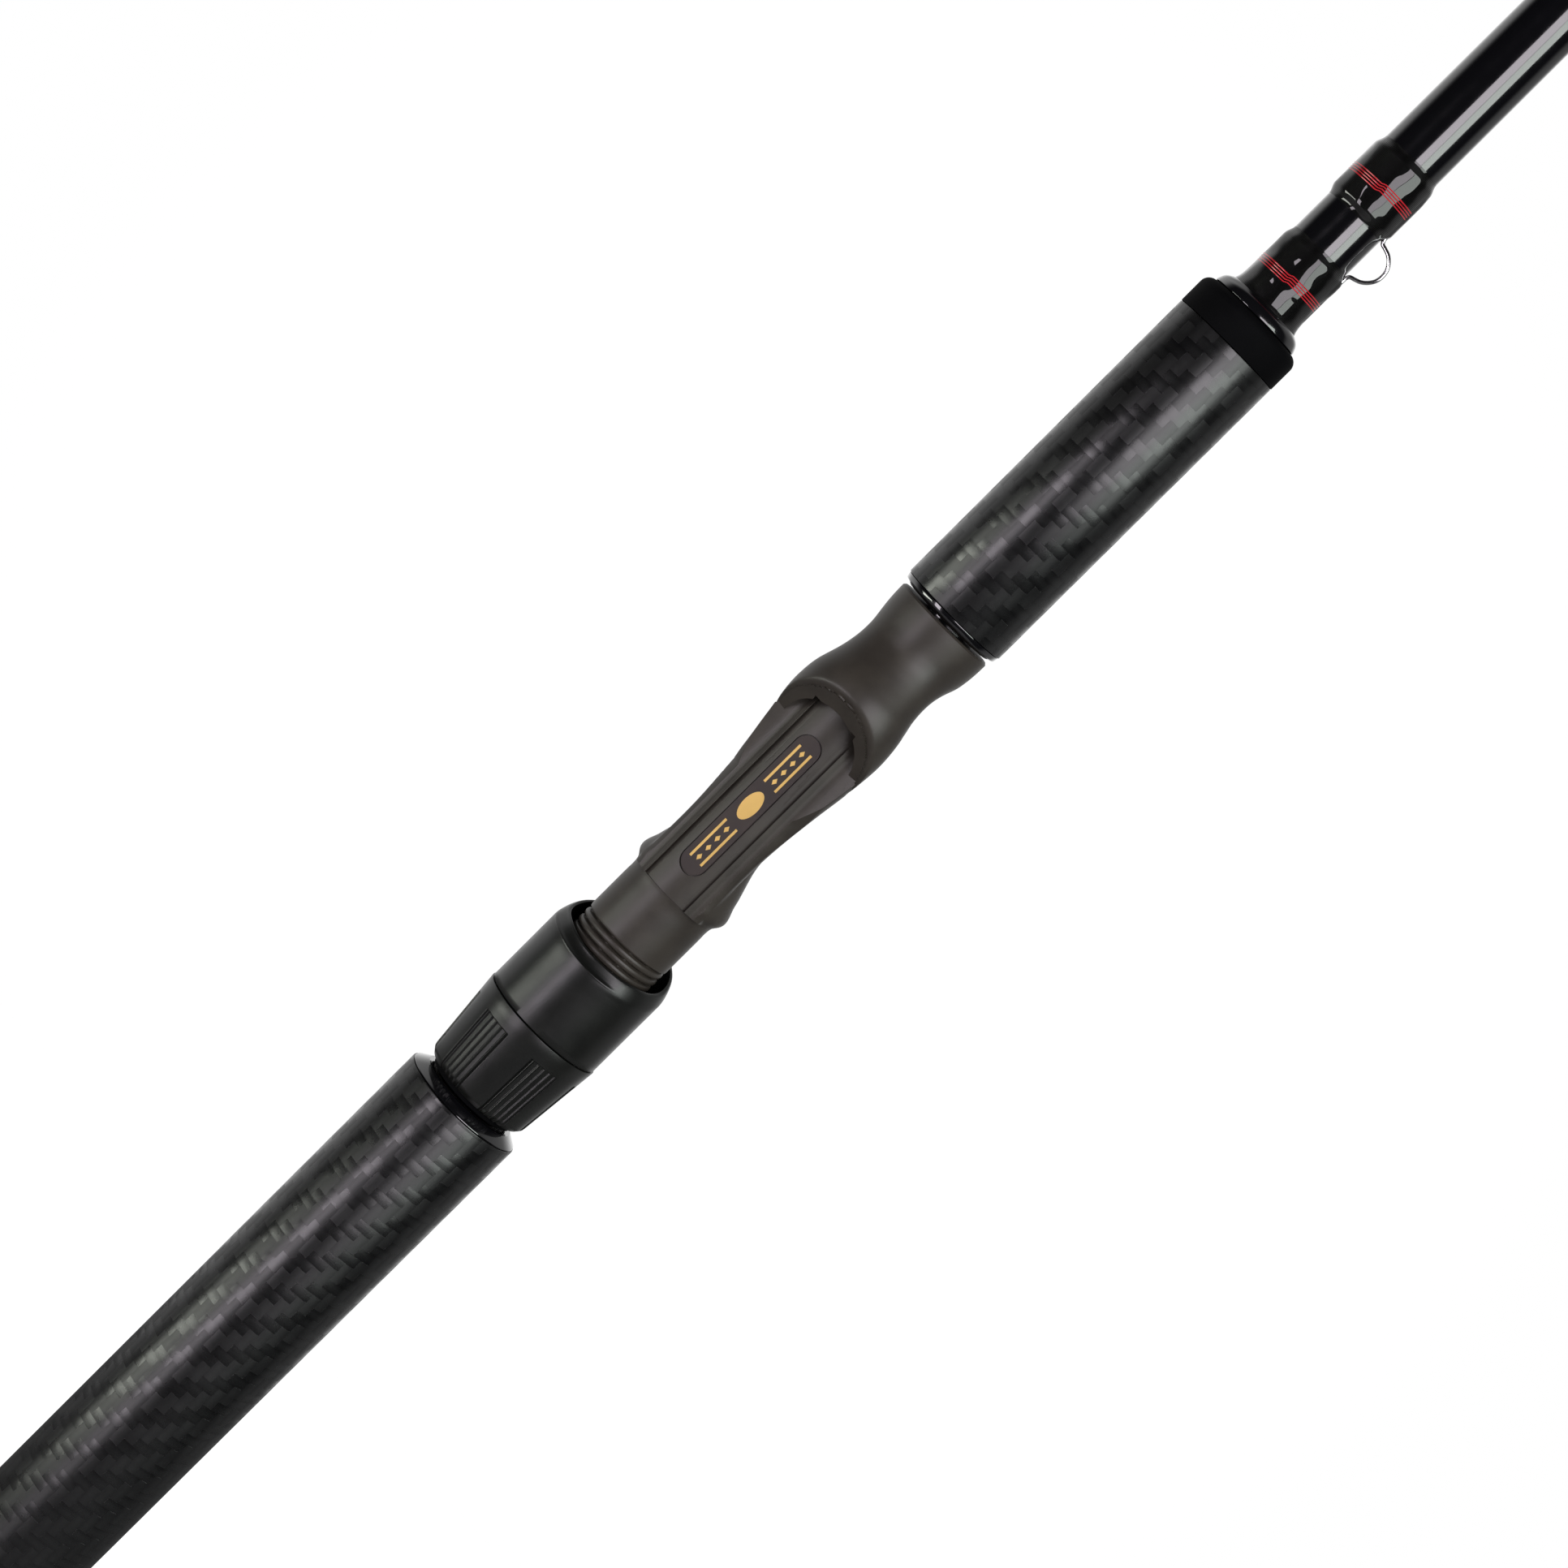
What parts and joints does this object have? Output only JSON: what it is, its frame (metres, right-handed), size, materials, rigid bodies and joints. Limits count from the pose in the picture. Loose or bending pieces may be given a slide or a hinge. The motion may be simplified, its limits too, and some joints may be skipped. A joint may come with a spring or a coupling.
{
  "type": "spinning rod",
  "caption": "Two-section spinning rod with carbon-faced grips, a screw-locked reel seat with sliding hood, hook keeper and ring guides hung under a tapering gloss blank.",
  "frame": {"origin": "centre of the flat end of the butt cap, on the rod's axis", "axes": "+Z along the rod from butt to tip; -Y the side the reel and guides hang on; +X the hook keeper's side"},
  "size_m": [0.0324, 0.0646, 2.7432],
  "materials": {
    "carbon_skin": "satin 2x2 twill carbon facing",
    "seat_grey": "matte warm dark grey moulding",
    "hood_grey": "satin dark grey-green moulding",
    "gloss_black": "polished black",
    "matte_black": "matte black, fine grain",
    "blank_gloss": "deep gloss black lacquer over carbon",
    "wrap_epoxy": "black thread under clear gloss epoxy",
    "foam": "dense foam",
    "badge": "dark inset with gold pinstripes",
    "steel": "polished stainless steel",
    "guide_frame": "dark polished guide frame",
    "guide_ceramic": "polished dark ceramic"
  },
  "bodies": {
    "butt_section": {"butt_cap": "matte_black", "butt_trim_ring": "steel", "rear_grip_core": "foam", "rear_grip_end_ring": "gloss_black", "rear_grip_skin": "carbon_skin", "reel_seat_body": "seat_grey", "seat_arbor_front": "foam", "seat_arbor_rear": "foam", "seat_badge": "badge", "foregrip_core": "foam", "foregrip_front_cap": "matte_black", "foregrip_rear_ring": "gloss_black", "foregrip_skin": "carbon_skin", "winding_check": "gloss_black", "butt_blank": "blank_gloss", "keeper_wrap_lower": "wrap_epoxy", "keeper_wrap_upper": "wrap_epoxy", "hook_keeper": "steel", "guide_1_frame": "guide_frame", "guide_1_ring": "guide_ceramic", "guide_1_wrap_lower": "wrap_epoxy", "guide_1_wrap_upper": "wrap_epoxy"},
    "sliding_hood": {"hood_shell": "hood_grey", "hood_liner": "steel"},
    "lock_nut": {"nut_shell": "hood_grey", "nut_thread_insert": "steel"},
    "tip_section": {"tip_blank": "blank_gloss", "ferrule_wrap": "wrap_epoxy", "guide_2_frame": "guide_frame", "guide_2_ring": "guide_ceramic", "guide_2_wrap_lower": "wrap_epoxy", "guide_2_wrap_upper": "wrap_epoxy", "guide_3_frame": "guide_frame", "guide_3_ring": "guide_ceramic", "guide_3_wrap_lower": "wrap_epoxy", "guide_3_wrap_upper": "wrap_epoxy", "guide_4_frame": "guide_frame", "guide_4_ring": "guide_ceramic", "guide_4_wrap_upper": "wrap_epoxy", "guide_5_frame": "guide_frame", "guide_5_ring": "guide_ceramic", "guide_5_wrap_upper": "wrap_epoxy", "guide_6_frame": "guide_frame", "guide_6_ring": "guide_ceramic", "guide_6_wrap_upper": "wrap_epoxy", "guide_7_frame": "guide_frame", "guide_7_ring": "guide_ceramic", "guide_7_wrap_upper": "wrap_epoxy", "guide_8_frame": "guide_frame", "guide_8_ring": "guide_ceramic", "guide_8_wrap_upper": "wrap_epoxy", "tip_top_frame": "guide_frame", "tip_top_ring": "guide_ceramic", "tip_top_wrap": "wrap_epoxy"}
  },
  "joints": [
    {"name": "hood_slide", "type": "slide", "parent": "butt_section", "child": "sliding_hood", "axis": [0, 0, 1], "range_m": [0, 0.011]},
    {"name": "nut_turn", "type": "hinge", "parent": "sliding_hood", "child": "lock_nut", "pos_m": [0, 0, 0.3126], "axis": [0, 0, 1], "range_deg": [0, 2262]},
    {"name": "ferrule_slide", "type": "slide", "parent": "butt_section", "child": "tip_section", "axis": [0, 0, 1], "range_m": [0, 0.085]}
  ],
  "couplings": [
    {"joint": "hood_slide", "follows": "nut_turn", "m_per_rad": 0.00027852}
  ]
}
